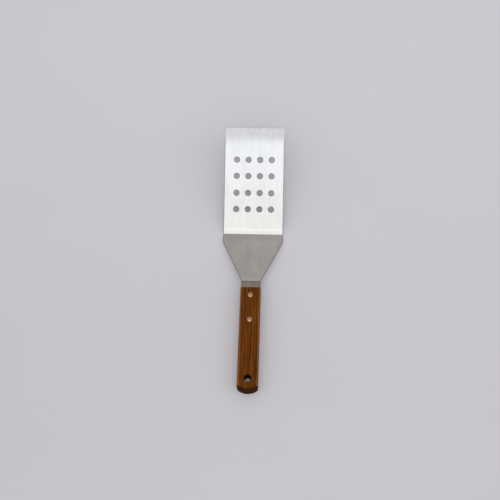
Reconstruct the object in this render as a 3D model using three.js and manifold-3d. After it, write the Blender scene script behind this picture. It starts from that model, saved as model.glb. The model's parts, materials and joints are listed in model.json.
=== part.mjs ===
// Perforated turner: a bent stainless blade, riveted into the slotted front end of a hardwood handle.
// Sizes are in millimetres and angles in degrees. +Y runs from the handle's tail to the blade's front
// edge and +Z is up. The turner lies as it does on a table, tipped back on its first bend and its tail.

import * as THREE from 'three';
import { mergeVertices } from 'three/addons/utils/BufferGeometryUtils.js';
import Module from 'manifold-3d';

const wasm = await Module();
wasm.setup();

// Sheet: one stamping that is the blade, the neck and the tang
const sheetThickness = 1.2;
const bendRadius = 2;            // inside radius of both bends
const bladeWidth = 76.2;
const bladeLength = 137.5;       // first bend to front edge
const bladeCornerRadius = 2.5;
const grindLength = 18;          // stretch that is ground thin at the front edge
const edgeThickness = 0.5;       // what the grinding leaves at the front edge
const neckRise = 36.5;           // angle of the neck above the blade
const neckLength = 72.5;         // first bend to second bend
const shoulderLength = 12;       // stretch of the neck that keeps the blade's width
const shoulderRadius = 8;
const neckRunOut = 2;            // stretch of the neck that already has the tang's width
const tangDrop = 10.3;           // angle that the tang turns back down from the neck
const tangExposed = 11.5;        // bare tang between the second bend and the wood
const tangPastRivet = 12;        // tang behind the centre of the rear rivet
const tangInset = 0.2;           // the tang's edges lie this far inside the handle's sides

// Perforations, punched two rows at a stroke
const holeDiameter = 7.1;
const holeColumnPitch = 14.95;
const holeRowPitch = 20.95;
const punchOverfeed = 0.8;       // extra feed of the sheet between two strokes
const rowsPerStroke = 2;
const holeRearMargin = 32.3;     // first bend to the nearest row
const holeFrontMargin = 30;      // front strip that stays solid
const holeSideMargin = 12;       // side strips that stay solid

// Handle
const handleLength = 129;
const handleWidth = 24.6;
const handleThickness = 16.8;
const handleEdgeRadius = 3;
const tailCrown = 4.2;           // how far the tail's end bulges out past straight, seen from above
const tailCornerEase = 1;        // the tail's corners are this much rounder than the long edges
const hangHoleDiameter = 9;
const hangHoleSetback = 14.7;    // tail end to the hole's centre
const hangHoleChamfer = 0.4;

// Rivets: a sleeve from above takes a pin from below
const rivetPinDiameter = 2.2;
const rivetSleeveWall = 0.6;
const rivetHeadRim = 1.15;       // how far a head reaches past the sleeve
const rivetSeatDepth = 0.9;      // depth of the counterbore that a head sits in
const rivetDomeHeight = 0.5;     // how far a head stands out of the wood
const rivetPinTipGap = 1.5;      // space left in the sleeve beyond the pin's tip
const frontRivetSetback = 9.8;   // wood's front end to the front rivet
const rivetSpacing = 31.6;

// Clearance between neighbouring pieces, and how far a cutter runs past what it cuts
const fitGap = 0.3;
const cutMargin = 1;

// Fineness of round shapes
const roundSegments = 24;
const arcSegments = 8;
const edgeSegments = 5;

// Derived sizes
const neckAngle = THREE.MathUtils.degToRad(neckRise);
const dropAngle = THREE.MathUtils.degToRad(tangDrop);
const tangAngle = neckAngle - dropAngle;
const outerBendRadius = bendRadius + sheetThickness;
const rearRivetSetback = frontRivetSetback + rivetSpacing;
const tangInsert = rearRivetSetback + tangPastRivet;
const tangLength = tangExposed + tangInsert;
const tangWidth = handleWidth - 2 * tangInset;
const tailCrownRadius = ((handleWidth / 2) ** 2 + tailCrown ** 2) / (2 * tailCrown);
const tailCornerRadius = handleEdgeRadius + tailCornerEase;
const sleeveBoreRadius = rivetPinDiameter / 2 + fitGap;
const sleeveRadius = sleeveBoreRadius + rivetSleeveWall;
const rivetBoreRadius = sleeveRadius + fitGap;
const rivetHeadRadius = sleeveRadius + rivetHeadRim;
const rivetSeatRadius = rivetHeadRadius + fitGap;
const rivetSeatLevel = handleThickness / 2 - rivetSeatDepth;

// Directions in the YZ plane: towards the tail along the neck and the tang, and out of their top faces
const alongNeck = new THREE.Vector2(-Math.cos(neckAngle), Math.sin(neckAngle));
const outOfNeck = new THREE.Vector2(Math.sin(neckAngle), Math.cos(neckAngle));
const alongTang = new THREE.Vector2(-Math.cos(tangAngle), Math.sin(tangAngle));
const outOfTang = new THREE.Vector2(Math.sin(tangAngle), Math.cos(tangAngle));

// The point reached from another by moves, each a direction and a distance
function shifted(from, ...moves) {
  const point = from.clone();
  moves.forEach(([direction, distance]) => point.addScaledVector(direction, distance));
  return point;
}

// Where the top faces of blade and neck, and of neck and tang, would meet if the bends were sharp
const firstCorner = new THREE.Vector2(0, 0);
const secondCorner = shifted(firstCorner, [alongNeck, neckLength]);

// Centres of the two bends, above the sheet at the first and below it at the second
const firstBendTangent = bendRadius * Math.tan(neckAngle / 2);
const firstBendCentre = new THREE.Vector2(firstBendTangent, bendRadius);
const secondBendTangent = outerBendRadius * Math.tan(dropAngle / 2);
const secondBendStart = shifted(secondCorner, [alongNeck, -secondBendTangent]);
const secondBendCentre = shifted(secondBendStart, [outOfNeck, -outerBendRadius]);

// The handle's own frame: origin mid-sheet at the wood's front end, Y towards the blade, Z out of the tang
const woodFront = shifted(secondCorner, [alongTang, tangExposed], [outOfTang, -sheetThickness / 2]);
const handleFrame = new THREE.Matrix4().makeRotationX(-tangAngle).setPosition(0, woodFront.x, woodFront.y);

// A closed geometry as a solid that can be joined and cut
function solidOf(geometry) {
  const bare = geometry.clone();
  bare.deleteAttribute('normal');
  bare.deleteAttribute('uv');
  const welded = mergeVertices(bare);
  const vertProperties = new Float32Array(welded.attributes.position.array);
  const triVerts = new Uint32Array(welded.index.array);
  return new wasm.Manifold(new wasm.Mesh({ numProp: 3, vertProperties, triVerts }));
}

// A solid as a flat-shaded geometry
function geometryOf(solid) {
  const { vertProperties, triVerts } = solid.getMesh();
  const geometry = new THREE.BufferGeometry();
  geometry.setAttribute('position', new THREE.BufferAttribute(vertProperties, 3));
  geometry.setIndex(new THREE.BufferAttribute(triVerts, 1));
  const flat = geometry.toNonIndexed();
  flat.computeVertexNormals();
  return flat;
}

function cutAll(solid, cutters) {
  return cutters.reduce((rest, cutter) => rest.subtract(solidOf(cutter)), solid);
}

// An outline in the XY plane, drawn out as far above the plane as below it
function extrudeUp(outline, height) {
  const options = { depth: height, bevelEnabled: false, curveSegments: arcSegments };
  return new THREE.ExtrudeGeometry(outline, options).translate(0, 0, -height / 2);
}

// An outline in the YZ plane, drawn out across X, as far to the left as to the right
function extrudeAcross(outline, width) {
  const yzToSide = new THREE.Matrix4().makeBasis(
    new THREE.Vector3(0, 1, 0),
    new THREE.Vector3(0, 0, 1),
    new THREE.Vector3(1, 0, 0),
  );
  return extrudeUp(outline, width).applyMatrix4(yzToSide);
}

// A round bar or cone along Z, centred on the origin
function roundBar(topRadius, bottomRadius, height) {
  return new THREE.CylinderGeometry(topRadius, bottomRadius, height, roundSegments).rotateX(Math.PI / 2);
}

// Adds the arc about a centre from one angle to another, whichever way round that is
function arcAbout(outline, centre, radius, from, to) {
  outline.absarc(centre.x, centre.y, radius, from, to, to < from);
}

// Side view of the sheet: along its top face to the tang's end, and back along its underside
function sheetSideView() {
  const bladeDown = -Math.PI / 2;
  const tangEnd = shifted(secondCorner, [alongTang, tangLength]);
  const tangEndBelow = shifted(tangEnd, [outOfTang, -sheetThickness]);
  const neckUp = Math.PI / 2 - neckAngle;
  const tangUp = Math.PI / 2 - tangAngle;
  const outline = new THREE.Shape();
  outline.moveTo(bladeLength, -sheetThickness);
  outline.lineTo(bladeLength, edgeThickness - sheetThickness);
  outline.lineTo(bladeLength - grindLength, 0);
  arcAbout(outline, firstBendCentre, bendRadius, bladeDown, bladeDown - neckAngle);
  arcAbout(outline, secondBendCentre, outerBendRadius, neckUp, tangUp);
  outline.lineTo(tangEnd.x, tangEnd.y);
  outline.lineTo(tangEndBelow.x, tangEndBelow.y);
  arcAbout(outline, secondBendCentre, bendRadius, tangUp, neckUp);
  arcAbout(outline, firstBendCentre, outerBendRadius, bladeDown - neckAngle, bladeDown);
  outline.closePath();
  return outline;
}

// Top view that gives the sheet its width and its rounded front corners
function sheetTopView() {
  const side = bladeWidth / 2;
  const corner = bladeCornerRadius;
  const rear = -(neckLength + tangLength);
  const outline = new THREE.Shape();
  outline.moveTo(-side, rear);
  outline.lineTo(side, rear);
  arcAbout(outline, new THREE.Vector2(side - corner, bladeLength - corner), corner, 0, Math.PI / 2);
  arcAbout(outline, new THREE.Vector2(corner - side, bladeLength - corner), corner, Math.PI / 2, Math.PI);
  outline.closePath();
  return outline;
}

// What is trimmed off one side of the neck and the tang, drawn in the neck's plane; side is 1 or -1
function sideTrim(side) {
  const bladeEdge = bladeWidth / 2;
  const tangEdge = tangWidth / 2;
  const outside = bladeEdge + cutMargin;
  const taperRun = neckLength - shoulderLength - neckRunOut;
  const taperTurn = Math.atan2(bladeEdge - tangEdge, taperRun);
  const easing = shoulderRadius * Math.tan(taperTurn / 2);
  const rear = -(neckLength + tangLength + cutMargin);
  const outline = new THREE.Shape();
  outline.moveTo(side * outside, easing - shoulderLength);
  outline.lineTo(side * bladeEdge, easing - shoulderLength);
  outline.quadraticCurveTo(
    side * bladeEdge,
    -shoulderLength,
    side * (bladeEdge - easing * Math.sin(taperTurn)),
    -shoulderLength - easing * Math.cos(taperTurn),
  );
  outline.lineTo(side * tangEdge, neckRunOut - neckLength);
  outline.lineTo(side * tangEdge, rear);
  outline.lineTo(side * outside, rear);
  outline.closePath();
  return extrudeUp(outline, 2 * tangLength).rotateX(-neckAngle);
}

// Distance of a row of perforations from the first bend
function rowPlace(row) {
  const strokesBefore = Math.floor(row / rowsPerStroke);
  return holeRearMargin + row * holeRowPitch + strokesBefore * punchOverfeed;
}

// Rows fill the blade between its solid margins, and columns are centred on it
function perforations() {
  const columnSpan = bladeWidth - 2 * holeSideMargin;
  const columns = Math.floor(columnSpan / holeColumnPitch) + 1;
  const cutters = [];
  for (let row = 0; rowPlace(row) <= bladeLength - holeFrontMargin; row += 1) {
    for (let column = 0; column < columns; column += 1) {
      const across = (column - (columns - 1) / 2) * holeColumnPitch;
      const punch = roundBar(holeDiameter / 2, holeDiameter / 2, 2 * sheetThickness + 2 * cutMargin);
      cutters.push(punch.translate(across, rowPlace(row), 0));
    }
  }
  return cutters;
}

// Holes for both rivets, in the handle's frame, through wood and tang alike
function rivetBores() {
  const height = handleThickness + 2 * cutMargin;
  return [frontRivetSetback, rearRivetSetback].map(
    (setback) => roundBar(rivetBoreRadius, rivetBoreRadius, height).translate(0, -setback, 0),
  );
}

function bladeGeometry() {
  const tallEnough = 2 * (bladeLength + neckLength + tangLength);
  const sheet = solidOf(extrudeAcross(sheetSideView(), bladeWidth + 2 * cutMargin));
  const trimmed = sheet.intersect(solidOf(extrudeUp(sheetTopView(), tallEnough)));
  const tangHoles = rivetBores().map((bore) => bore.applyMatrix4(handleFrame));
  return geometryOf(cutAll(trimmed, [sideTrim(1), sideTrim(-1), ...perforations(), ...tangHoles]));
}

// Top view of the handle: straight sides and a crowned tail; it runs past the front end, which is cut square
function handleTopView() {
  const side = handleWidth / 2;
  const front = handleEdgeRadius + cutMargin;
  const crown = new THREE.Vector2(0, tailCrownRadius - handleLength);
  const cornerReach = tailCrownRadius - tailCornerRadius;
  const cornerX = side - tailCornerRadius;
  const cornerY = crown.y - Math.sqrt(cornerReach ** 2 - cornerX ** 2);
  const cornerTurn = Math.atan2(cornerY - crown.y, cornerX);
  const outline = new THREE.Shape();
  outline.moveTo(side, front);
  outline.lineTo(-side, front);
  arcAbout(outline, new THREE.Vector2(-cornerX, cornerY), tailCornerRadius, Math.PI, Math.PI - cornerTurn);
  arcAbout(outline, crown, tailCrownRadius, -Math.PI - cornerTurn, cornerTurn);
  arcAbout(outline, new THREE.Vector2(cornerX, cornerY), tailCornerRadius, cornerTurn, 0);
  outline.closePath();
  return outline;
}

// Plain block of the handle, rounded along all its edges but those of the square front end
function handleBlock() {
  const straightSide = handleThickness - 2 * handleEdgeRadius;
  const rounded = new THREE.ExtrudeGeometry(handleTopView(), {
    depth: straightSide,
    bevelThickness: handleEdgeRadius,
    bevelSize: handleEdgeRadius,
    bevelOffset: -handleEdgeRadius,
    bevelSegments: edgeSegments,
    curveSegments: arcSegments,
  }).translate(0, 0, -straightSide / 2);
  const frontLength = handleEdgeRadius + 2 * cutMargin;
  const frontCut = new THREE.BoxGeometry(
    handleWidth + 2 * cutMargin,
    frontLength,
    handleThickness + 2 * cutMargin,
  ).translate(0, frontLength / 2, 0);
  return solidOf(rounded).subtract(solidOf(frontCut));
}

// Saw kerf that takes the tang, open at the front end and at both sides
function kerfCut() {
  const length = tangInsert + fitGap + cutMargin;
  return new THREE.BoxGeometry(handleWidth + 2 * cutMargin, length, sheetThickness + 2 * fitGap)
    .translate(0, cutMargin - length / 2, 0);
}

// Counterbores for the rivets' heads, in both faces of the handle
function rivetSeats() {
  const depth = rivetSeatDepth + cutMargin;
  const seats = [];
  for (const setback of [frontRivetSetback, rearRivetSetback]) {
    for (const face of [1, -1]) {
      const level = face * (rivetSeatLevel + depth / 2);
      seats.push(roundBar(rivetSeatRadius, rivetSeatRadius, depth).translate(0, -setback, level));
    }
  }
  return seats;
}

// Hang hole through the tail, with both rims chamfered
function hangHoleCuts() {
  const radius = hangHoleDiameter / 2;
  const centre = hangHoleSetback - handleLength;
  const bore = roundBar(radius, radius, handleThickness + 2 * cutMargin).translate(0, centre, 0);
  const coneHeight = hangHoleChamfer + cutMargin;
  const coneLevel = handleThickness / 2 - hangHoleChamfer + coneHeight / 2;
  const top = roundBar(radius + coneHeight, radius, coneHeight).translate(0, centre, coneLevel);
  const bottom = roundBar(radius, radius + coneHeight, coneHeight).translate(0, centre, -coneLevel);
  return [bore, top, bottom];
}

function handleGeometry() {
  return geometryOf(cutAll(handleBlock(), [kerfCut(), ...rivetBores(), ...rivetSeats(), ...hangHoleCuts()]));
}

// Half section of a rivet's domed head, from the axis out to its rim and in again under it to a shank
function headProfile(shankRadius) {
  const faceLevel = handleThickness / 2;
  const domeRadius = (rivetHeadRadius ** 2 + rivetDomeHeight ** 2) / (2 * rivetDomeHeight);
  const domeCentre = faceLevel + rivetDomeHeight - domeRadius;
  const rimTurn = Math.asin(rivetHeadRadius / domeRadius);
  const points = [];
  for (let step = 0; step <= edgeSegments; step += 1) {
    const turn = (rimTurn * step) / edgeSegments;
    points.push(new THREE.Vector2(domeRadius * Math.sin(turn), domeCentre + domeRadius * Math.cos(turn)));
  }
  points.push(new THREE.Vector2(rivetHeadRadius, rivetSeatLevel + fitGap));
  points.push(new THREE.Vector2(shankRadius, rivetSeatLevel + fitGap));
  return points;
}

// A half section turned about Z; it runs from the top down, so it is reversed to face outwards
function turned(profile) {
  return new THREE.LatheGeometry(profile.slice().reverse(), roundSegments).rotateX(Math.PI / 2);
}

// Sleeve: head above, hollow shank down to just over the pin's head
function sleeveGeometry() {
  const shankEnd = -rivetSeatLevel;
  const boreEnd = rivetSeatLevel;
  return turned([
    ...headProfile(sleeveRadius),
    new THREE.Vector2(sleeveRadius, shankEnd),
    new THREE.Vector2(sleeveBoreRadius, shankEnd),
    new THREE.Vector2(sleeveBoreRadius, boreEnd),
    new THREE.Vector2(0, boreEnd),
  ]);
}

// Pin: the same head, turned over, with a solid shank that reaches up inside the sleeve
function pinGeometry() {
  const pinRadius = rivetPinDiameter / 2;
  const shankEnd = rivetPinTipGap - rivetSeatLevel;
  return turned([
    ...headProfile(pinRadius),
    new THREE.Vector2(pinRadius, shankEnd),
    new THREE.Vector2(0, shankEnd),
  ]).rotateX(Math.PI);
}

function steel() {
  return new THREE.MeshStandardMaterial({ color: 0xc9c8c6, metalness: 1, roughness: 0.35 });
}

function rivetMetal() {
  return new THREE.MeshStandardMaterial({ color: 0xc7b094, metalness: 1, roughness: 0.3 });
}

function hardwood() {
  return new THREE.MeshStandardMaterial({ color: 0x6a3d16, metalness: 0, roughness: 0.55 });
}

function namedMesh(name, geometry, material) {
  const mesh = new THREE.Mesh(geometry, material);
  mesh.name = name;
  return mesh;
}

// Both halves of one rivet, at its place in the handle's frame
function rivet(name, setback) {
  const group = new THREE.Group();
  group.add(namedMesh(`${name}_sleeve`, sleeveGeometry(), rivetMetal()));
  group.add(namedMesh(`${name}_pin`, pinGeometry(), rivetMetal()));
  group.position.y = -setback;
  return group;
}

function handleAssembly() {
  const group = new THREE.Group();
  group.add(namedMesh('handle', handleGeometry(), hardwood()));
  group.add(rivet('front_rivet', frontRivetSetback));
  group.add(rivet('rear_rivet', rearRivetSetback));
  group.applyMatrix4(handleFrame);
  return group;
}

// The table touches the outside of the first bend and the rounded lower edge of the tail, so its slope
// against the blade is that of the line that touches both circles from below
function tableAngle() {
  const tailY = handleEdgeRadius - handleLength;
  const tailZ = handleEdgeRadius - handleThickness / 2;
  const tail = new THREE.Vector3(0, tailY, tailZ).applyMatrix4(handleFrame);
  const run = tail.y - firstBendCentre.x;
  const rise = tail.z - firstBendCentre.y;
  return Math.atan2(run, rise) + Math.acos((handleEdgeRadius - outerBendRadius) / Math.hypot(run, rise));
}

const lyingTurner = new THREE.Group();
lyingTurner.add(namedMesh('turner_blade', bladeGeometry(), steel()));
lyingTurner.add(handleAssembly());
lyingTurner.rotation.x = tableAngle();

// The origin is under the middle of the whole turner, on the table
const turner = new THREE.Group();
turner.add(lyingTurner);
const extent = new THREE.Box3().setFromObject(turner, true);
const middle = extent.getCenter(new THREE.Vector3());
lyingTurner.position.set(-middle.x, -middle.y, -extent.min.z);

export default turner;
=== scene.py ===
"""Looks of a perforated turner: a bent stainless blade, riveted into the slotted end of a hardwood handle.

Lengths are in metres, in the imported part's frame: +Y runs from the handle's tail to the blade's front
edge, and +Z is up. Each piece is built here with its fine edges and finish, and stands for one node of
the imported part.
"""

import json
import math

import bmesh
import bpy
from mathutils import Matrix, Vector
from mathutils.geometry import delaunay_2d_cdt


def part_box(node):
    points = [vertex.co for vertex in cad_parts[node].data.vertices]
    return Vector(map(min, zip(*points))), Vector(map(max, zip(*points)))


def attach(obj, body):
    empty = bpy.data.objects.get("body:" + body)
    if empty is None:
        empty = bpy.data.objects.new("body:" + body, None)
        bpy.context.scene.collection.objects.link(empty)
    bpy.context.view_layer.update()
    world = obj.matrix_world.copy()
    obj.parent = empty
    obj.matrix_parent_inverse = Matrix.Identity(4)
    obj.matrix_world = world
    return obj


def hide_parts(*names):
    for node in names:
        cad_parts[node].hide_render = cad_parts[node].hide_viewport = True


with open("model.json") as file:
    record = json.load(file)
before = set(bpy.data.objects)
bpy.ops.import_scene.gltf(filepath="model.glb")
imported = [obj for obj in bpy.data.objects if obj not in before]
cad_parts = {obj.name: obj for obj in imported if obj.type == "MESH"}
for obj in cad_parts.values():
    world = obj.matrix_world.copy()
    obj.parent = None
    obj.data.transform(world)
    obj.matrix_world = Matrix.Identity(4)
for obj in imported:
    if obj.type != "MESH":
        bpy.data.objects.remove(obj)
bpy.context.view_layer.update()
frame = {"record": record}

MM = 0.001

# Sheet: one stamping that is the blade, the neck and the tang
SHEET_THICKNESS = 1.2 * MM
BEND_RADIUS = 2 * MM
BLADE_LENGTH = 137.5 * MM
BLADE_CORNER_RADIUS = 2.5 * MM
GRIND_FLAT = 9.5 * MM
GRIND_BLEND = 13 * MM
FRONT_EDGE = 0.5 * MM
NECK_RISE = math.radians(36.5)
NECK_LENGTH = 72.5 * MM
SHOULDER_LENGTH = 12 * MM
SHOULDER_RADIUS = 8 * MM
NECK_RUN_OUT = 2 * MM
TANG_EXPOSED = 11.5 * MM
TANG_PAST_RIVET = 12 * MM
TANG_INSET = 0.2 * MM

# How far cut edges of the sheet are eased, inward and down
EDGE_ROLLOVER = (0.45 * MM, 0.2 * MM)
HOLE_ROLLOVER = (0.45 * MM, 0.3 * MM)

# Marks across the sheet, as (middle in front of the first bend, full reach, reach where it is gone)
BURNISH_MARK = (6 * MM, 0.7 * MM, 2 * MM)
GRIME_MARK = (-6 * MM, 2 * MM, 6 * MM)
# Painted dark reflection along the second bend
BEND_REFLECTION_MARK = (-NECK_LENGTH - 0.5 * MM, 0.5 * MM, 1 * MM)

# Lengths in the look of the sheet
# Length of the painted highlight at the neck's end
NECK_END_HIGHLIGHT_LENGTH = 9 * MM
TANG_BLEND = 0.5 * MM
GRIND_RAGGEDNESS = 3 * MM
COOL_START = 45 * MM
COOL_END = 150 * MM
COOL_RAGGEDNESS = 60 * MM

# Perforations, punched two rows at a stroke
HOLE_RADIUS = 3.55 * MM
HOLE_COLUMNS = 4
HOLE_ROWS = 4
HOLE_COLUMN_PITCH = 14.95 * MM
HOLE_ROW_PITCH = 20.95 * MM
HOLE_REAR_MARGIN = 32.3 * MM
PUNCH_OVERFEED = 0.8 * MM
ROWS_PER_STROKE = 2

# Handle
HANDLE_LENGTH = 129 * MM
HANDLE_THICKNESS = 16.8 * MM
HANDLE_EDGE_RADIUS = 3 * MM
HANDLE_FRONT_EASE = 0.4 * MM
TAIL_CROWN = 4.2 * MM
TAIL_CORNER_RADIUS = 4 * MM
HANG_HOLE_RADIUS = 4.5 * MM
HANG_HOLE_SETBACK = 14.7 * MM
HANG_HOLE_ROUNDING = 0.4 * MM
KERF_GAP = 0.06 * MM

# Rivets
RIVET_PIN_RADIUS = 1.1 * MM
RIVET_BORE_RADIUS = 1.4 * MM
RIVET_SLEEVE_RADIUS = 2 * MM
RIVET_SEAT_DEPTH = 0.9 * MM
RIVET_SEAT_GAP = 0.16 * MM
RIVET_DOME = 0.5 * MM
RIVET_RIM_RADIUS = 0.25 * MM
RIVET_PIN_TIP_GAP = 1.5 * MM

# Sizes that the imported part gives
BLADE_HALF_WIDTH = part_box("turner_blade")[1].x
HANDLE_HALF_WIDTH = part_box("handle")[1].x
RIVET_HEAD_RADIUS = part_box("front_rivet_sleeve")[1].x

# Fineness of round shapes, and what is too near to keep apart
ROUND_STEPS = 72
CORNER_STEPS = 10
BEND_STEPS = 6
EDGE_STEPS = 4
HIDDEN_EDGE_STEPS = 1
SHEET_GRID = 3.5 * MM
LEAST_SPACING = 0.02 * MM
WELD_DISTANCE = 1e-7

# Edges over these angles stay sharp
METAL_SHARP_ANGLE = math.radians(40)
WOOD_SHARP_ANGLE = math.radians(35)

# Table top
TABLE_RADIUS = 15.0
TABLE_GAP = 0.05 * MM

# Grain of the wood, whose growth rings lie about a pith outside the handle
RING_WIDTH = 2.6 * MM
PITH_OFFSET = (52 * MM, 0, 34 * MM)
GRAIN_DRIFT = (4 * MM, 0, 4 * MM)

# Colours of the steel
WARM_STEEL = (0.577, 0.577, 0.56, 1)
COOL_STEEL = (0.61, 0.628, 0.648, 1)
BURNISHED_STEEL = (0.635, 0.63, 0.61, 1)
# Painted highlight on the neck's end, next to the second bend
NECK_END_HIGHLIGHT_STEEL = (0.66, 0.66, 0.645, 1)
# Painted shade with a painted brown reflection of the wood, for the tang
SHADED_TANG_STEEL = (0.42, 0.345, 0.285, 1)
GRIMY_STEEL = (0.3, 0.25, 0.2, 1)
# Painted dark reflection along the second bend
BEND_REFLECTION_STEEL = (0.2, 0.175, 0.16, 1)
# Painted shade for the cut edges
SHADED_EDGE_STEEL = (0.16, 0.145, 0.135, 1)

# Colours of the wood
DARK_GRAIN = (0.031, 0.006, 0.0004, 1)
MIDDLE_GRAIN = (0.086, 0.022, 0.001, 1)
LIGHT_GRAIN = (0.167, 0.0525, 0.0033, 1)
WOOD_PORE = (0.022, 0.006, 0.001, 1)
# Wear with a painted sheen, for the rounded long edges
WORN_AND_SHEEN_WOOD = (0.22, 0.094, 0.028, 1)
# Darker end grain with painted shade, for the tail's end and the hang hole's wall
END_GRAIN_AND_SHADE = (0.004, 0.0015, 0.0005, 1)

# Colours of the rivets and of the table top
DARK_RIVET = (0.45, 0.285, 0.183, 1)
LIGHT_RIVET = (0.55, 0.365, 0.24, 1)
# Grime and painted shade at the rivets' rims
RIVET_GRIME_AND_SHADE = (0.2, 0.15, 0.11, 1)
# Ends of painted light across the table top, dimmer near and paler far
NEAR_TABLE_DIMMED = (0.482, 0.477, 0.498, 1)
FAR_TABLE_LIT = (0.575, 0.573, 0.608, 1)


def face_slope(mount):
    """Slope about X of the face that one of the record's mounts lies on."""
    axis = next(m["axis"] for m in frame["record"]["mounts"] if m["name"] == mount)
    return math.atan2(axis[1], -axis[2])


def blade_place():
    """The blade's frame: origin where the top faces of blade and neck meet, Y towards the front edge
    and Z out of the top."""
    slope = face_slope("blade_underside")
    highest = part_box("turner_blade")[1]
    y = highest.y - BLADE_LENGTH * math.cos(slope) - SHEET_THICKNESS * math.sin(slope)
    z = highest.z - BLADE_LENGTH * math.sin(slope) + (SHEET_THICKNESS - FRONT_EDGE) * math.cos(slope)
    return Matrix.Translation((0, y, z)) @ Matrix.Rotation(slope, 4, "X")


def handle_place():
    """The handle's frame: origin in the middle of the wood's front end, Y towards the blade and Z out
    of the top."""
    slope = face_slope("handle_back")
    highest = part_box("handle")[1]
    y = highest.y - HANDLE_THICKNESS / 2 * math.sin(slope)
    z = highest.z - HANDLE_THICKNESS / 2 * math.cos(slope)
    return Matrix.Translation((0, y, z)) @ Matrix.Rotation(slope, 4, "X")


BLADE_PLACE = blade_place()
HANDLE_PLACE = handle_place()
TANG_RISE = face_slope("blade_underside") - face_slope("handle_back")


def rivet_setback(node):
    """Distance of a rivet's axis behind the wood's front end."""
    low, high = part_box(node)
    return -(HANDLE_PLACE.inverted() @ ((low + high) / 2)).y


RIVET_SETBACKS = {name: rivet_setback(f"{name}_rivet_sleeve") for name in ("front", "rear")}

# Sizes worked out from the ones above, with places on the sheet taken back from the first bend
WOOD_START = NECK_LENGTH + TANG_EXPOSED
TANG_END = WOOD_START + RIVET_SETBACKS["rear"] + TANG_PAST_RIVET
TANG_SIDE = HANDLE_HALF_WIDTH - TANG_INSET
TAPER_LENGTH = NECK_LENGTH - SHOULDER_LENGTH - NECK_RUN_OUT
FIRST_BEND_HALF = BEND_RADIUS * math.tan(NECK_RISE / 2)
SECOND_BEND_RADIUS = BEND_RADIUS + SHEET_THICKNESS
SECOND_BEND_HALF = SECOND_BEND_RADIUS * math.tan((NECK_RISE - TANG_RISE) / 2)


# Outlines

def arc(centre, radius, start, end, steps):
    """Points of an arc from one angle to another, both ends included."""
    turns = [start + (end - start) * step / steps for step in range(steps + 1)]
    return [Vector((centre[0] + radius * math.cos(t), centre[1] + radius * math.sin(t))) for t in turns]


def mirrored(points):
    """Points on the right, followed by their mirror images on the left in the opposite order."""
    return points + [Vector((-p.x, p.y)) for p in reversed(points)]


def round_hole(x, y, radius):
    """A hole's loop, clockwise, so that the material is on its left."""
    return arc((x, y), radius, 0, -math.tau, ROUND_STEPS)[:-1]


def cut_at(loop, levels, spacing):
    """The loop with extra points where it crosses the levels of y, and with no straight stretch much
    over the spacing."""
    finer = []
    for start, end in zip(loop, loop[1:] + loop[:1]):
        span = end - start
        too_near = LEAST_SPACING / span.length
        shares = [0]
        if span.y:
            crossings = [(level - start.y) / span.y for level in levels]
            shares += sorted(share for share in crossings if too_near < share < 1 - too_near)
        for share, next_share in zip(shares, shares[1:] + [1]):
            pieces = max(1, round((next_share - share) * span.length / spacing))
            steps = [share + (next_share - share) * step / pieces for step in range(pieces)]
            finer += [start + span * step for step in steps]
    return finer


def inset(loop, distance):
    """A closed loop, moved to its left by a distance."""
    moved = []
    for before, point, after in zip(loop[-1:] + loop[:-1], loop, loop[1:] + loop[:1]):
        arriving = (point - before).normalized()
        leaving = (after - point).normalized()
        left = (arriving + leaving).orthogonal().normalized()
        moved.append(point + left * (distance / left.dot(arriving.orthogonal())))
    return moved


# Meshes

def is_inside(x, y, edges):
    """Whether a place lies inside closed loops, by the number of their edges on its right."""
    on_right = 0
    for (start_x, start_y), (end_x, end_y) in edges:
        if (start_y > y) != (end_y > y):
            on_right += x < start_x + (end_x - start_x) * (y - start_y) / (end_y - start_y)
    return on_right % 2 == 1


def filled(rim_points, rim_edges, inner_points):
    """Triangles between the rims of a plate and its holes, as the numbers of rim points, then of inner
    points."""
    rims = len(rim_points)
    edges = [(tuple(rim_points[a]), tuple(rim_points[b])) for a, b in rim_edges]
    points = [*rim_points, *inner_points]
    made = delaunay_2d_cdt(points, rim_edges, [], 0, WELD_DISTANCE, True)
    found_triangles, sources_of_points = made[2:4]
    sources = [numbers[0] for numbers in sources_of_points]
    triangles = []
    for triangle in found_triangles:
        corners = [sources[number] for number in triangle]
        middle = sum((points[number] for number in corners), Vector((0, 0))) / 3
        if max(corners) >= rims or is_inside(middle.x, middle.y, edges):
            triangles.append(corners)
    return triangles


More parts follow.
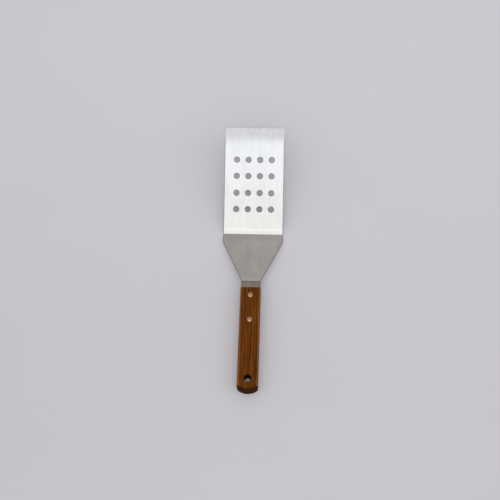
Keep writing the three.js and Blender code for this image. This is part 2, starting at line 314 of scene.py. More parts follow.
def slab(loops, top, bottom, place, inner_points=()):
    """A closed plate with eased edges. Each loop is (points, easing, steps), the outline anticlockwise
    and first, then its holes, and the easing is how far it reaches inward and down. top and bottom
    give a face's depth at a point, and place puts a point and a depth in space. The map named flat
    holds each point before it was placed, and cut_edge is 1 on the faces between the two rims."""
    mesh = bmesh.new()
    flat_map = mesh.loops.layers.uv.new("flat")
    cut_edge = mesh.faces.layers.float.new("cut_edge")
    flat = {}

    def vertex(point, depth):
        made = mesh.verts.new(place(point, depth))
        flat[made] = point
        return made

    top_rims, bottom_rims, rim_points, rim_edges = [], [], [], []
    for points, (reach, drop), steps in loops:
        turns = [math.pi / 2 * step / steps for step in range(steps + 1)]
        easing = [(reach * (1 - math.sin(t)), drop * (1 - math.cos(t))) for t in turns]
        upper = [[vertex(p, top(p) + down) for p in inset(points, inward)] for inward, down in easing]
        lower = [[vertex(p, bottom(p) - up) for p in inset(points, inward)] for inward, up in easing]
        rings = upper + lower[::-1]
        for above, below in zip(rings, rings[1:]):
            for i in range(len(points)):
                face = mesh.faces.new((above[i - 1], below[i - 1], below[i], above[i]))
                face[cut_edge] = 1
        first = len(rim_points)
        rim_points += inset(points, reach)
        rim_edges += [(first + i, first + (i + 1) % len(points)) for i in range(len(points))]
        top_rims += upper[0]
        bottom_rims += lower[0]

    top_face = top_rims + [vertex(p, top(p)) for p in inner_points]
    bottom_face = bottom_rims + [vertex(p, bottom(p)) for p in inner_points]
    for a, b, c in filled(rim_points, rim_edges, inner_points):
        mesh.faces.new((top_face[a], top_face[b], top_face[c]))
        mesh.faces.new((bottom_face[c], bottom_face[b], bottom_face[a]))
    for face in mesh.faces:
        for loop in face.loops:
            loop[flat_map].uv = flat[loop.vert]
    return mesh


def turned(profile):
    """A closed solid turned about Z from a half section, whose (radius, z) points run from the top of
    the axis to its bottom. The map named flat holds the view from above."""
    mesh = bmesh.new()
    flat_map = mesh.loops.layers.uv.new("flat")
    rings = []
    for radius, z in profile:
        steps = ROUND_STEPS if radius else 1
        turns = [math.tau * step / steps for step in range(steps)]
        rings.append([mesh.verts.new((radius * math.cos(t), radius * math.sin(t), z)) for t in turns])
    for above, below in zip(rings, rings[1:]):
        for i in range(ROUND_STEPS):
            before = above[(i - 1) % len(above)], below[(i - 1) % len(below)]
            after = below[i % len(below)], above[i % len(above)]
            mesh.faces.new(list(dict.fromkeys(before + after)))
    for face in mesh.faces:
        for loop in face.loops:
            loop[flat_map].uv = loop.vert.co.xy
    return mesh


def finished_mesh(name, shape, sharp_angle):
    """A Blender mesh from a bmesh, smooth but for edges over an angle."""
    mesh = bpy.data.meshes.new(name)
    shape.to_mesh(mesh)
    shape.free()
    mesh.shade_smooth()
    mesh.set_sharp_from_angle(angle=sharp_angle)
    return mesh


def add_object(name, data):
    """Adds an object to the scene."""
    obj = bpy.data.objects.new(name, data)
    bpy.context.scene.collection.objects.link(obj)
    return obj


def add_piece(name, mesh, place, material, node):
    """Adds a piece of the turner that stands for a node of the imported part."""
    mesh.transform(place)
    mesh.materials.append(material)
    obj = add_object(name, mesh)
    shading = obj.modifiers.new("even_faces", "WEIGHTED_NORMAL")
    shading.keep_sharp = True
    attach(obj, "root")
    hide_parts(node)


# Blade

def out_of(rise):
    """The direction out of the top of sheet that rises to the rear at an angle, as (forward, up)."""
    return Vector((math.sin(rise), math.cos(rise)))


def back_along(rise):
    """The direction to the rear along sheet that rises that way at an angle, as (forward, up)."""
    return Vector((-math.cos(rise), math.sin(rise)))


def sheet_place(point, depth):
    """A point of the flat sheet, bent into shape. The point's y is its distance in front of the first
    bend, measured along the top face as if the bends were sharp, and depth is how far it lies under
    that face."""
    run = point.y
    past_second = -NECK_LENGTH - run
    second_corner = back_along(NECK_RISE) * NECK_LENGTH
    if run >= FIRST_BEND_HALF:
        place = Vector((run, -depth))
    elif run > -FIRST_BEND_HALF:
        rise = NECK_RISE * (FIRST_BEND_HALF - run) / (2 * FIRST_BEND_HALF)
        centre = Vector((FIRST_BEND_HALF, BEND_RADIUS))
        place = centre - out_of(rise) * (BEND_RADIUS + depth)
    elif past_second <= -SECOND_BEND_HALF:
        place = back_along(NECK_RISE) * -run - out_of(NECK_RISE) * depth
    elif past_second < SECOND_BEND_HALF:
        share = (past_second + SECOND_BEND_HALF) / (2 * SECOND_BEND_HALF)
        rise = NECK_RISE + (TANG_RISE - NECK_RISE) * share
        bend_start = second_corner - back_along(NECK_RISE) * SECOND_BEND_HALF
        centre = bend_start - out_of(NECK_RISE) * SECOND_BEND_RADIUS
        place = centre + out_of(rise) * (SECOND_BEND_RADIUS - depth)
    else:
        place = second_corner + back_along(TANG_RISE) * past_second - out_of(TANG_RISE) * depth
    return Vector((point.x, place.x, place.y))


def bend_rows():
    """Distances along the sheet at which it needs points, so that both bends come out round."""
    rows = []
    for middle, half in ((0, FIRST_BEND_HALF), (-NECK_LENGTH, SECOND_BEND_HALF)):
        rows += [middle + half * (2 * step / BEND_STEPS - 1) for step in range(BEND_STEPS + 1)]
    return rows


def sheet_outline():
    """Outline of the flat sheet with tang, neck, shoulders and blade, anticlockwise from the tang's end."""
    taper = math.atan2(BLADE_HALF_WIDTH - TANG_SIDE, TAPER_LENGTH)
    easing = SHOULDER_RADIUS * math.tan(taper / 2)
    shoulder_centre = (BLADE_HALF_WIDTH - SHOULDER_RADIUS, easing - SHOULDER_LENGTH)
    corner = BLADE_CORNER_RADIUS
    corner_centre = (BLADE_HALF_WIDTH - corner, BLADE_LENGTH - corner)
    right_side = [
        Vector((TANG_SIDE, -TANG_END)),
        Vector((TANG_SIDE, NECK_RUN_OUT - NECK_LENGTH)),
        *arc(shoulder_centre, SHOULDER_RADIUS, -taper, 0, CORNER_STEPS),
        *arc(corner_centre, corner, 0, math.pi / 2, CORNER_STEPS),
    ]
    return mirrored(right_side)


def perforation_centres():
    """Centres of the drain holes, row by row from the rear."""
    centres = []
    for row in range(HOLE_ROWS):
        y = HOLE_REAR_MARGIN + row * HOLE_ROW_PITCH + row // ROWS_PER_STROKE * PUNCH_OVERFEED
        for column in range(HOLE_COLUMNS):
            centres.append(((column - (HOLE_COLUMNS - 1) / 2) * HOLE_COLUMN_PITCH, y))
    return centres


def ground_top(point):
    """Depth of the sheet's top face, ground flat at the front edge and blended into the full sheet."""
    slope = (SHEET_THICKNESS - FRONT_EDGE) / (GRIND_FLAT + GRIND_BLEND / 2)
    behind = BLADE_LENGTH - point.y
    if behind < GRIND_FLAT:
        return SHEET_THICKNESS - FRONT_EDGE - slope * behind
    left = max(0, GRIND_FLAT + GRIND_BLEND - behind)
    return slope * left ** 2 / (2 * GRIND_BLEND)


def half_width_at(run):
    """Half the sheet's width at a distance in front of the first bend."""
    share = (run + NECK_LENGTH - NECK_RUN_OUT) / TAPER_LENGTH
    return TANG_SIDE + (BLADE_HALF_WIDTH - TANG_SIDE) * min(max(share, 0), 1)


def sheet_grid(rows, holes):
    """Points on an even grid inside the sheet, clear of its edges and holes, with rows at the bends."""
    length = BLADE_LENGTH + TANG_END
    count = math.ceil(length / SHEET_GRID)
    even = [BLADE_LENGTH - length * step / count for step in range(1, count)]
    clear_of_bends = [y for y in even if min(abs(y - row) for row in rows) > SHEET_GRID / 3]
    columns = math.ceil(2 * BLADE_HALF_WIDTH / SHEET_GRID)
    points = []
    for y in clear_of_bends + rows:
        for column in range(1, columns):
            x = BLADE_HALF_WIDTH * (2 * column / columns - 1)
            nearest = min(math.hypot(x - hole_x, y - hole_y) for hole_x, hole_y in holes)
            if abs(x) < half_width_at(y) - SHEET_GRID / 2 and nearest > HOLE_RADIUS + SHEET_GRID / 2:
                points.append(Vector((x, y)))
    return points


def blade_mesh():
    """The bent sheet with its drain holes and its rivet holes."""
    rows = bend_rows()
    centres = perforation_centres()
    rivet_holes = [(0, -(WOOD_START + setback)) for setback in RIVET_SETBACKS.values()]
    outline = cut_at(sheet_outline(), rows, SHEET_GRID)
    loops = [(outline, EDGE_ROLLOVER, EDGE_STEPS)]
    loops += [(round_hole(x, y, HOLE_RADIUS), HOLE_ROLLOVER, EDGE_STEPS) for x, y in centres]
    for x, y in rivet_holes:
        loops.append((round_hole(x, y, RIVET_SLEEVE_RADIUS), EDGE_ROLLOVER, HIDDEN_EDGE_STEPS))
    grid = sheet_grid(rows, centres + rivet_holes)
    sheet = slab(loops, ground_top, lambda p: SHEET_THICKNESS, sheet_place, grid)
    return finished_mesh("blade", sheet, METAL_SHARP_ANGLE)


# Handle

def handle_outline():
    """Top view of the handle, anticlockwise; it runs past the front end, which is cut square afterwards."""
    side = HANDLE_HALF_WIDTH
    crown_radius = (side ** 2 + TAIL_CROWN ** 2) / (2 * TAIL_CROWN)
    crown_y = crown_radius - HANDLE_LENGTH
    corner_x = side - TAIL_CORNER_RADIUS
    corner_y = crown_y - math.sqrt((crown_radius - TAIL_CORNER_RADIUS) ** 2 - corner_x ** 2)
    turn = math.atan2(corner_y - crown_y, corner_x)
    crown = arc((0, crown_y), crown_radius, -math.pi / 2, turn, CORNER_STEPS)
    corner = arc((corner_x, corner_y), TAIL_CORNER_RADIUS, turn, 0, CORNER_STEPS)
    right_side = crown[1:] + corner[1:] + [Vector((side, 2 * HANDLE_EDGE_RADIUS))]
    return mirrored(right_side) + [crown[0]]


def cut_front(mesh):
    """Cuts the handle square at its front end and eases the new edges."""
    everything = mesh.verts[:] + mesh.edges[:] + mesh.faces[:]
    cut = bmesh.ops.bisect_plane(
        mesh, geom=everything, dist=WELD_DISTANCE, plane_co=(0, 0, 0), plane_no=(0, 1, 0), clear_outer=True
    )
    rim = [edge for edge in cut["geom_cut"] if isinstance(edge, bmesh.types.BMEdge)]
    bmesh.ops.contextual_create(mesh, geom=rim)
    bmesh.ops.bevel(mesh, geom=rim, offset=HANDLE_FRONT_EASE, segments=3, profile=0.5, affect="EDGES")


def box_cutter(low, high):
    """A box between two corners."""
    mesh = bmesh.new()
    bmesh.ops.create_cube(mesh, size=1)
    size = Vector(high) - Vector(low)
    bmesh.ops.scale(mesh, vec=size, verts=mesh.verts)
    bmesh.ops.translate(mesh, vec=(Vector(low) + Vector(high)) / 2, verts=mesh.verts)
    return mesh


def rivet_cutter(setback):
    """A rivet's bore through the handle, with a seat for a head at each end."""
    past = HANDLE_THICKNESS / 2 + HANDLE_EDGE_RADIUS
    seat = RIVET_HEAD_RADIUS + RIVET_SEAT_GAP
    seat_floor = HANDLE_THICKNESS / 2 - RIVET_SEAT_DEPTH
    upper_half = [(0, past), (seat, past), (seat, seat_floor), (RIVET_SLEEVE_RADIUS, seat_floor)]
    lower_half = [(radius, -z) for radius, z in reversed(upper_half)]
    mesh = turned(upper_half + lower_half)
    bmesh.ops.translate(mesh, vec=(0, -setback, 0), verts=mesh.verts)
    return mesh


def handle_cutters():
    """The saw kerf that takes the tang, and the bores and seats of the rivets."""
    margin = HANDLE_EDGE_RADIUS
    kerf_end = -(RIVET_SETBACKS["rear"] + TANG_PAST_RIVET + KERF_GAP)
    kerf_half = SHEET_THICKNESS / 2 + KERF_GAP
    side = HANDLE_HALF_WIDTH + margin
    kerf = box_cutter((-side, kerf_end, -kerf_half), (side, margin, kerf_half))
    return [kerf, *(rivet_cutter(setback) for setback in RIVET_SETBACKS.values())]


def carved(shape, cutters):
    """A mesh with the cutters taken out of it."""
    block = add_object("block", finished_mesh("block", shape, math.pi))
    tools = []
    for number, cutter in enumerate(cutters):
        tool = add_object(f"cutter_{number}", finished_mesh("cutter", cutter, math.pi))
        cut = block.modifiers.new(tool.name, "BOOLEAN")
        cut.operation = "DIFFERENCE"
        cut.solver = "EXACT"
        cut.object = tool
        tools.append(tool)
    bpy.context.view_layer.update()
    carved_block = block.evaluated_get(bpy.context.evaluated_depsgraph_get())
    result = bpy.data.meshes.new_from_object(carved_block)
    for obj in [block, *tools]:
        bpy.data.objects.remove(obj)
    return result


def handle_mesh():
    """The rounded handle with its hang hole, kerf, bores and seats."""
    half = HANDLE_THICKNESS / 2
    hole = round_hole(0, HANG_HOLE_SETBACK - HANDLE_LENGTH, HANG_HOLE_RADIUS)
    loops = [
        (handle_outline(), (HANDLE_EDGE_RADIUS, HANDLE_EDGE_RADIUS), CORNER_STEPS),
        (hole, (HANG_HOLE_ROUNDING, HANG_HOLE_ROUNDING), CORNER_STEPS // 2),
    ]

    def place(point, depth):
        return Vector((point.x, point.y, half - depth))

    block = slab(loops, lambda p: 0, lambda p: HANDLE_THICKNESS, place)
    cut_front(block)
    mesh = carved(block, handle_cutters())
    mesh.name = "handle"
    mesh.shade_smooth()
    mesh.set_sharp_from_angle(angle=WOOD_SHARP_ANGLE)
    return mesh


# Rivets

def rivet_head(shank_radius):
    """Half section of a domed head, from the top of the axis down to a shank's start; z is the height
    above the middle of the handle."""
    face = HANDLE_THICKNESS / 2
    dome_radius = (RIVET_HEAD_RADIUS ** 2 + RIVET_DOME ** 2) / (2 * RIVET_DOME)
    centre = face + RIVET_DOME - dome_radius
    rim = RIVET_RIM_RADIUS
    rim_x = RIVET_HEAD_RADIUS - rim
    rim_turn = math.acos(rim_x / (dome_radius - rim))
    rim_z = centre + (dome_radius - rim) * math.sin(rim_turn)
    dome = arc((0, centre), dome_radius, math.pi / 2, rim_turn, CORNER_STEPS)
    edge = arc((rim_x, rim_z), rim, rim_turn, 0, EDGE_STEPS)
    seat = face - RIVET_SEAT_DEPTH
    points = [(0, face + RIVET_DOME), *dome[1:], *edge[1:]]
    return [tuple(p) for p in points] + [(RIVET_HEAD_RADIUS, seat), (shank_radius, seat)]


def sleeve_mesh():
    """The hollow half of a rivet, with its head on top."""
    seat = HANDLE_THICKNESS / 2 - RIVET_SEAT_DEPTH
    profile = rivet_head(RIVET_SLEEVE_RADIUS) + [
        (RIVET_SLEEVE_RADIUS, -seat),
        (RIVET_BORE_RADIUS, -seat),
        (RIVET_BORE_RADIUS, seat),
        (0, seat),
    ]
    return finished_mesh("rivet_sleeve", turned(profile), METAL_SHARP_ANGLE)


def pin_mesh():
    """The solid half of a rivet, with its head underneath."""
    tip = RIVET_PIN_TIP_GAP + RIVET_SEAT_DEPTH - HANDLE_THICKNESS / 2
    shape = turned(rivet_head(RIVET_PIN_RADIUS) + [(RIVET_PIN_RADIUS, tip), (0, tip)])
    bmesh.ops.rotate(shape, matrix=Matrix.Rotation(math.pi, 3, "X"), verts=shape.verts)
    return finished_mesh("rivet_pin", shape, METAL_SHARP_ANGLE)


# Materials

def add_node(tree, kind, inputs=None, **options):
    """Adds a shader node, sets its options, and sets or links its inputs."""
    made = tree.nodes.new("ShaderNode" + kind)
    for name, value in options.items():
        setattr(made, name, value)
    for name, value in (inputs or {}).items():
        if isinstance(value, bpy.types.NodeSocket):
            link(tree, value, made, name)
        else:
            made.inputs[name].default_value = value
    return made


def link(tree, value, target, name):
    """Links a value to one of a node's inputs."""
    tree.links.new(value, target.inputs[name])


def new_material(name):
    """A new material, its node tree and its shader."""
    material = bpy.data.materials.new(name)
    material.use_nodes = True
    tree = material.node_tree
    return material, tree, tree.nodes["Principled BSDF"]


def stretched_noise(tree, coordinates, sizes, detail):
    """Noise whose grains have these sizes along the three axes, 0 to 1."""
    scale = [1 / size for size in sizes]
    placed = add_node(tree, "Mapping", {"Vector": coordinates, "Scale": scale})
    inputs = {"Vector": placed.outputs[0], "Scale": 1.0, "Detail": detail}
    return add_node(tree, "TexNoise", inputs).outputs["Fac"]


def remap(tree, value, low, high, new_low, new_high):
    """A value's range turned into another, smoothly and with no overshoot."""
    inputs = {"Value": value, "From Min": low, "From Max": high, "To Min": new_low, "To Max": new_high}
    return add_node(tree, "MapRange", inputs, interpolation_type="SMOOTHSTEP").outputs["Result"]


def spread(tree, noise, low, high):
    """Noise turned into a range; most of it lies between 0.3 and 0.7."""
    return remap(tree, noise, 0.3, 0.7, low, high)


def math_of(tree, operation, a, b):
    """What a math node makes of two values."""
    return add_node(tree, "Math", {0: a, 1: b}, operation=operation).outputs[0]


def absolute(tree, value):
    """A value without its sign."""
    return math_of(tree, "ABSOLUTE", value, 0)


def vector_of(tree, operation, a, b):
    """The vector that a vector math node makes of two vectors."""
    return add_node(tree, "VectorMath", {0: a, 1: b}, operation=operation).outputs["Vector"]


def dot_product(tree, a, b):
    """The dot product of two vectors."""
    return add_node(tree, "VectorMath", {0: a, 1: b}, operation="DOT_PRODUCT").outputs["Value"]


def blend_colours(tree, share, first, second, mode="MIX"):
    """Two colours mixed, with this share of the second one's effect."""
    inputs = {0: share, 6: first, 7: second}
    return add_node(tree, "Mix", inputs, data_type="RGBA", blend_type=mode).outputs[2]


def ramp(tree, value, stops):
    """A colour ramp through (position, colour) stops."""
    made = add_node(tree, "ValToRGB", {"Fac": value})
    elements = made.color_ramp.elements
    while len(elements) < len(stops):
        elements.new(0.5)
    for element, (position, colour) in zip(elements, stops):
        element.position = position
        element.color = colour
    return made.outputs["Color"]


def bare_steel(tree, run, smudges, streaks):
    """Colour of bare steel, cooler towards the front edge, with faint streaks and smudges."""
    ragged_run = math_of(tree, "ADD", run, math_of(tree, "MULTIPLY", smudges, COOL_RAGGEDNESS))
    coolness = remap(tree, ragged_run, COOL_START, COOL_END, 0.0, 1.0)
    colour = blend_colours(tree, coolness, WARM_STEEL, COOL_STEEL)
    polish = spread(tree, streaks, 0.95, 1.0)
    colour = blend_colours(tree, 1.0, colour, polish, "MULTIPLY")
    worn = remap(tree, smudges, 0.35, 0.65, 0.92, 1.0)
    return blend_colours(tree, 1.0, colour, worn, "MULTIPLY")


def band(tree, run, mark, share):
    """Cover of a mark across the sheet: this share near the mark's middle, fading to none."""
    middle, full_reach, faded_reach = mark
    away = absolute(tree, math_of(tree, "SUBTRACT", run, middle))
    return remap(tree, away, full_reach, faded_reach, share, 0.0)


def with_bend_marks(tree, colour, run, on_tang):
    """A steel colour with the marks at both bends, a painted highlight at the neck's end, painted shade and
    a painted brown reflection of the wood on the tang, and a painted dark reflection along the second bend.
    """
    marks = (
        (band(tree, run, BURNISH_MARK, 0.5), BURNISHED_STEEL),
        # Painted highlight on the neck's end, next to the second bend
        (remap(tree, run, -NECK_LENGTH, NECK_END_HIGHLIGHT_LENGTH - NECK_LENGTH, 0.5, 0.0), NECK_END_HIGHLIGHT_STEEL),
        # Painted shade and a painted brown reflection of the wood on the tang
        (math_of(tree, "MULTIPLY", on_tang, 0.7), SHADED_TANG_STEEL),
        (band(tree, run, GRIME_MARK, 0.12), GRIMY_STEEL),
        # Painted dark reflection along the second bend
        (band(tree, run, BEND_REFLECTION_MARK, 0.6), BEND_REFLECTION_STEEL),
    )
    for cover, shade in marks:
        colour = blend_colours(tree, cover, colour, shade)
    return colour


def steel_material():
    """Brushed stainless sheet, rubbed lengthwise, with painted shade on its cut edges, a coarser ground
    stretch at the front edge, and marks at both bends, painted light and shade among them."""
    material, tree, shader = new_material("stainless")
    flat = add_node(tree, "UVMap", uv_map="flat").outputs["UV"]
    run = add_node(tree, "SeparateXYZ", {"Vector": flat}).outputs["Y"]
    brushing = stretched_noise(tree, flat, (0.3 * MM, 30 * MM, 1), 3.0)
    streaks = stretched_noise(tree, flat, (5 * MM, 90 * MM, 1), 3.0)
    smudges = stretched_noise(tree, flat, (20 * MM, 26 * MM, 1), 4.0)
    scratches = stretched_noise(tree, flat, (1.4 * MM, 12 * MM, 1), 3.0)

    raggedness = spread(tree, scratches, -GRIND_RAGGEDNESS, GRIND_RAGGEDNESS)
    ragged_run = math_of(tree, "ADD", run, raggedness)
    grind_full = BLADE_LENGTH - GRIND_FLAT
    ground = remap(tree, ragged_run, grind_full - GRIND_BLEND, grind_full, 0.0, 1.0)
    on_tang = remap(tree, run, -NECK_LENGTH - TANG_BLEND, -NECK_LENGTH, 1.0, 0.0)

    colour = bare_steel(tree, run, smudges, streaks)
    rubbed = blend_colours(tree, 1.0, colour, spread(tree, scratches, 0.81, 0.92), "MULTIPLY")
    colour = blend_colours(tree, ground, colour, rubbed)
    colour = with_bend_marks(tree, colour, run, on_tang)
    # Painted shade on the cut edges, but not on the ground front or the tang
    cut = add_node(tree, "Attribute", attribute_name="cut_edge").outputs["Fac"]
    unshaded_edge = math_of(tree, "MAXIMUM", ground, on_tang)
    edge_shade = math_of(tree, "MULTIPLY", cut, math_of(tree, "SUBTRACT", 1.0, unshaded_edge))
    colour = blend_colours(tree, edge_shade, colour, SHADED_EDGE_STEEL)
    link(tree, colour, shader, "Base Color")

    fine = remap(tree, brushing, 0.25, 0.75, 0.22, 0.32)
    fogged = math_of(tree, "ADD", fine, remap(tree, smudges, 0.4, 0.7, 0.0, 0.06))
    rough = math_of(tree, "ADD", fogged, math_of(tree, "MULTIPLY", ground, 0.1))
    link(tree, rough, shader, "Roughness")

    relief = math_of(tree, "ADD", brushing, math_of(tree, "MULTIPLY", scratches, ground))
    bump = add_node(tree, "Bump", {"Strength": 0.12, "Distance": 0.03 * MM, "Height": relief})
    link(tree, bump.outputs["Normal"], shader, "Normal")
    tangent = add_node(tree, "Tangent", direction_type="UV_MAP", uv_map="flat")
    link(tree, tangent.outputs["Tangent"], shader, "Tangent")
    shader.inputs["Metallic"].default_value = 1.0
    shader.inputs["Anisotropic"].default_value = 0.5
    return material


def wood_faces(tree, normal):
    """How much a place is end grain, and how much it is a rounded edge along the handle."""
    _, along, up = add_node(tree, "SeparateXYZ", {"Vector": normal}).outputs
    end_grain = remap(tree, absolute(tree, along), 0.02, 0.2, 0.0, 1.0)
    side_grain = math_of(tree, "SUBTRACT", 1.0, end_grain)
    slant = absolute(tree, up)
    off_sides = remap(tree, slant, 0.3, 0.7, 0.0, 1.0)
    off_faces = remap(tree, slant, 0.85, 0.998, 1.0, 0.0)
    edge = math_of(tree, "MULTIPLY", off_sides, off_faces)
    return end_grain, math_of(tree, "MULTIPLY", edge, side_grain)


def growth_rings(tree, grained):
    """Growth rings about the pith, 0 to 1."""
    from_pith = add_node(tree, "Mapping", {"Vector": grained, "Location": PITH_OFFSET})
    # At a scale of 1 the texture's rings are tau / 20 apart
    scale = math.tau / 20 / RING_WIDTH
    inputs = {"Vector": from_pith.outputs[0], "Scale": scale, "Distortion": 1.5, "Detail": 2.0}
    return add_node(tree, "TexWave", inputs, wave_type="RINGS", rings_direction="Y").outputs["Fac"]


def wood_material():
    """Oiled hardwood with its grain along the handle, paler at its long edges from wear and a painted
    sheen, and darker where the grain ends, with painted shade on the tail's end and in the hang hole."""
    material, tree, shader = new_material("oiled_hardwood")
    coordinates = add_node(tree, "TexCoord").outputs
    place = coordinates["Object"]
    end_grain, edge = wood_faces(tree, coordinates["Normal"])
    drift = add_node(tree, "TexNoise", {"Vector": place, "Scale": 22.0, "Detail": 2.0}).outputs["Color"]
    drifted = vector_of(tree, "MULTIPLY", drift, GRAIN_DRIFT)
    grained = vector_of(tree, "ADD", place, drifted)
    rings = growth_rings(tree, grained)
    bands = stretched_noise(tree, grained, (2.6 * MM, 55 * MM, 2.6 * MM), 3.0)
    fibres = stretched_noise(tree, grained, (0.6 * MM, 16 * MM, 0.6 * MM), 3.0)
    pores = stretched_noise(tree, place, (0.28 * MM, 5 * MM, 0.28 * MM), 1.0)

    tone = math_of(tree, "MULTIPLY", bands, 0.58)
    for figure, weight in ((rings, 0.1), (fibres, 0.36)):
        tone = math_of(tree, "ADD", tone, math_of(tree, "MULTIPLY", figure, weight))
    colour = ramp(tree, tone, ((0.3, DARK_GRAIN), (0.5, MIDDLE_GRAIN), (0.7, LIGHT_GRAIN)))
    pored = remap(tree, pores, 0.6, 0.72, 0.0, 0.75)
    colour = blend_colours(tree, pored, colour, WOOD_PORE)
    # Wear and a painted sheen on the rounded long edges
    worn = math_of(tree, "MULTIPLY", edge, spread(tree, bands, 0.35, 0.85))
    colour = blend_colours(tree, worn, colour, WORN_AND_SHEEN_WOOD)
    # End grain darkened further by painted shade on the tail's end and in the hang hole
    end_grain_and_shade_colour = blend_colours(tree, 0.7, colour, END_GRAIN_AND_SHADE)
    colour = blend_colours(tree, end_grain, colour, end_grain_and_shade_colour)
    link(tree, colour, shader, "Base Color")

    rough = spread(tree, fibres, 0.4, 0.55)
    rough = math_of(tree, "ADD", rough, math_of(tree, "MULTIPLY", end_grain, 0.3))
    link(tree, rough, shader, "Roughness")
    relief = math_of(tree, "SUBTRACT", fibres, pored)
    bump = add_node(tree, "Bump", {"Strength": 0.25, "Distance": 0.08 * MM, "Height": relief})
    link(tree, bump.outputs["Normal"], shader, "Normal")
    shader.inputs["Specular IOR Level"].default_value = 0.07
    return material


def rivet_material():
    """Warm rivet metal, a little scuffed, with grime and painted shade at the rim."""
    material, tree, shader = new_material("rivet_metal")
    flat = add_node(tree, "UVMap", uv_map="flat").outputs["UV"]
    radius = add_node(tree, "VectorMath", {0: flat}, operation="LENGTH").outputs["Value"]
    scuffs = stretched_noise(tree, flat, (0.5 * MM, 1.6 * MM, 1), 4.0)
    # Grime and painted shade, darkening the rim of the head
    rim_grime_and_shade = remap(tree, radius, 0.8 * RIVET_HEAD_RADIUS, RIVET_HEAD_RADIUS, 0.0, 0.7)
    colour = blend_colours(tree, scuffs, DARK_RIVET, LIGHT_RIVET)
    link(tree, blend_colours(tree, rim_grime_and_shade, colour, RIVET_GRIME_AND_SHADE), shader, "Base Color")
    link(tree, spread(tree, scuffs, 0.2, 0.36), shader, "Roughness")
    bump = add_node(tree, "Bump", {"Strength": 0.15, "Distance": 0.03 * MM, "Height": scuffs})
    link(tree, bump.outputs["Normal"], shader, "Normal")
    shader.inputs["Metallic"].default_value = 1.0
    return material


def table_material():
    """Smooth pale table top, with painted light making it paler towards the far side, and a faint
    cloudiness.
    """
    material, tree, shader = new_material("table_top")
    place = add_node(tree, "TexCoord").outputs["Object"]
    clouds = stretched_noise(tree, place, (0.12, 0.09, 0.1), 3.0)
    along = add_node(tree, "SeparateXYZ", {"Vector": place}).outputs["Y"]
    # Painted light, paler towards the far side, with a faint cloudiness added
    painted_light_and_clouds = remap(tree, along, -0.3, 0.5, 0.0, 0.85)
    painted_light_and_clouds = math_of(tree, "ADD", painted_light_and_clouds, math_of(tree, "MULTIPLY", clouds, 0.15))
    link(tree, blend_colours(tree, painted_light_and_clouds, NEAR_TABLE_DIMMED, FAR_TABLE_LIT), shader, "Base Color")
    grit = stretched_noise(tree, place, (1.2 * MM, 1.2 * MM, 1.2 * MM), 2.0)
    link(tree, spread(tree, grit, 0.55, 0.65), shader, "Roughness")
    shader.inputs["Specular IOR Level"].default_value = 0.3
    return material


# Studio

def add_floor():
    """A round table top so wide that its edge is a level line, just clear of the turner's lowest points."""
    rim = arc((0, 0), TABLE_RADIUS, 0, math.tau, ROUND_STEPS)[:-1]
    mesh = bmesh.new()
    mesh.faces.new([mesh.verts.new((p.x, p.y, -TABLE_GAP)) for p in rim])
    floor = add_object("table_top", finished_mesh("table_top", mesh, math.pi))
    floor.data.materials.append(table_material())


def add_softbox(name, direction, away, width, radiance):
    """A square lamp that faces the origin and shows this radiance from everywhere in front of it."""
    lamp = bpy.data.lights.new(name, "AREA")
    lamp.shape = "SQUARE"
    lamp.size = width
    lamp.energy = radiance * math.pi * width ** 2
    obj = add_object(name, lamp)
    towards = Vector(direction).normalized()
    obj.location = towards * away
    obj.rotation_mode = "QUATERNION"
    obj.rotation_quaternion = towards.to_track_quat("Z", "Y")
    return obj


def add_lights():
    """A lamp on the right, and a fill lamp from the near side that no surface mirrors."""
    add_softbox("right_lamp", direction=(0.77, -0.19, 0.61), away=1.8, width=0.25, radiance=7.0)
    fill = add_softbox("fill_lamp", direction=(0.04, -0.44, 0.9), away=1.2, width=0.25, radiance=14.0)
    fill.visible_glossy = False


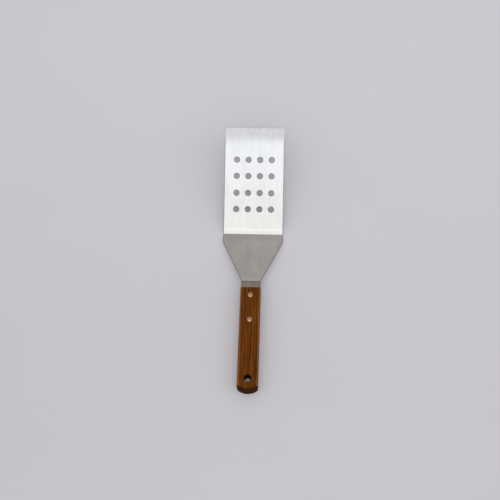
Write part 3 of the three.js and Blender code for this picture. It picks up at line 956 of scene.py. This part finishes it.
def tent_colour(tree, direction):
    """Colour of the tent, white with a dark slot overhead on the far side. The slot's shades go with
    angles from its middle, in degrees."""
    slot_middle = Vector((0, 0.375, 0.927))
    slot_narrowing = (1.2, 1, 1)
    slot_shades = (
        (48, (0.99, 0.99, 1.0, 1)),
        (38, (0.92, 0.915, 0.915, 1)),
        (27, (0.78, 0.725, 0.72, 1)),
        (18, (0.715, 0.64, 0.615, 1)),
        (12, (0.43, 0.37, 0.343, 1)),
        (0, (0.34, 0.285, 0.262, 1)),
    )
    squeezed = vector_of(tree, "MULTIPLY", direction, slot_narrowing)
    unit = add_node(tree, "VectorMath", {0: squeezed}, operation="NORMALIZE").outputs["Vector"]
    nearness = dot_product(tree, unit, slot_middle)
    return ramp(tree, nearness, [(math.cos(math.radians(angle)), shade) for angle, shade in slot_shades])


def tent_strength(tree, direction):
    """Brightness of the tent, with a brighter panel overhead on the near side."""
    panel_middle = Vector((0, -0.4, 0.9165))
    panel_edge = math.cos(math.radians(42))
    panel_core = math.cos(math.radians(20))
    plain_strength = 0.79
    panel_strength = 1.68
    nearness = dot_product(tree, direction, panel_middle)
    return remap(tree, nearness, panel_edge, panel_core, plain_strength, panel_strength)


def add_world():
    """A white tent around the table, which lights the turner and which its metal mirrors."""
    world = bpy.data.worlds.new("white_tent")
    world.use_nodes = True
    tree = world.node_tree
    direction = add_node(tree, "TexCoord").outputs["Generated"]
    background = tree.nodes["Background"]
    link(tree, tent_colour(tree, direction), background, "Color")
    link(tree, tent_strength(tree, direction), background, "Strength")
    bpy.context.scene.world = world


def add_camera():
    """A camera nearly square above the blade, as far off as the photograph's was."""
    lens = bpy.data.cameras.new("camera")
    lens.sensor_width = 36
    lens.lens = 56.16
    camera = add_object("camera", lens)
    spot = Matrix.Translation((32.82 * MM, -16.36 * MM, 1004.35 * MM))
    tilt = Matrix.Rotation(math.radians(-0.221), 4, "X")
    pan = Matrix.Rotation(math.radians(2.076), 4, "Y")
    roll = Matrix.Rotation(math.radians(1.065), 4, "Z")
    camera.matrix_world = BLADE_PLACE @ spot @ tilt @ pan @ roll
    bpy.context.scene.camera = camera


def build_turner():
    """Adds the six pieces, each in its place."""
    steel = steel_material()
    wood = wood_material()
    rivet_metal = rivet_material()
    add_piece("stamped_blade", blade_mesh(), BLADE_PLACE, steel, "turner_blade")
    add_piece("wooden_handle", handle_mesh(), HANDLE_PLACE, wood, "handle")
    for name, setback in RIVET_SETBACKS.items():
        place = HANDLE_PLACE @ Matrix.Translation((0, -setback, 0))
        for half, mesh in (("sleeve", sleeve_mesh()), ("pin", pin_mesh())):
            add_piece(f"{name}_{half}", mesh, place, rivet_metal, f"{name}_rivet_{half}")


build_turner()
add_floor()
add_lights()
add_world()
add_camera()
bpy.context.scene.view_settings.view_transform = "Standard"
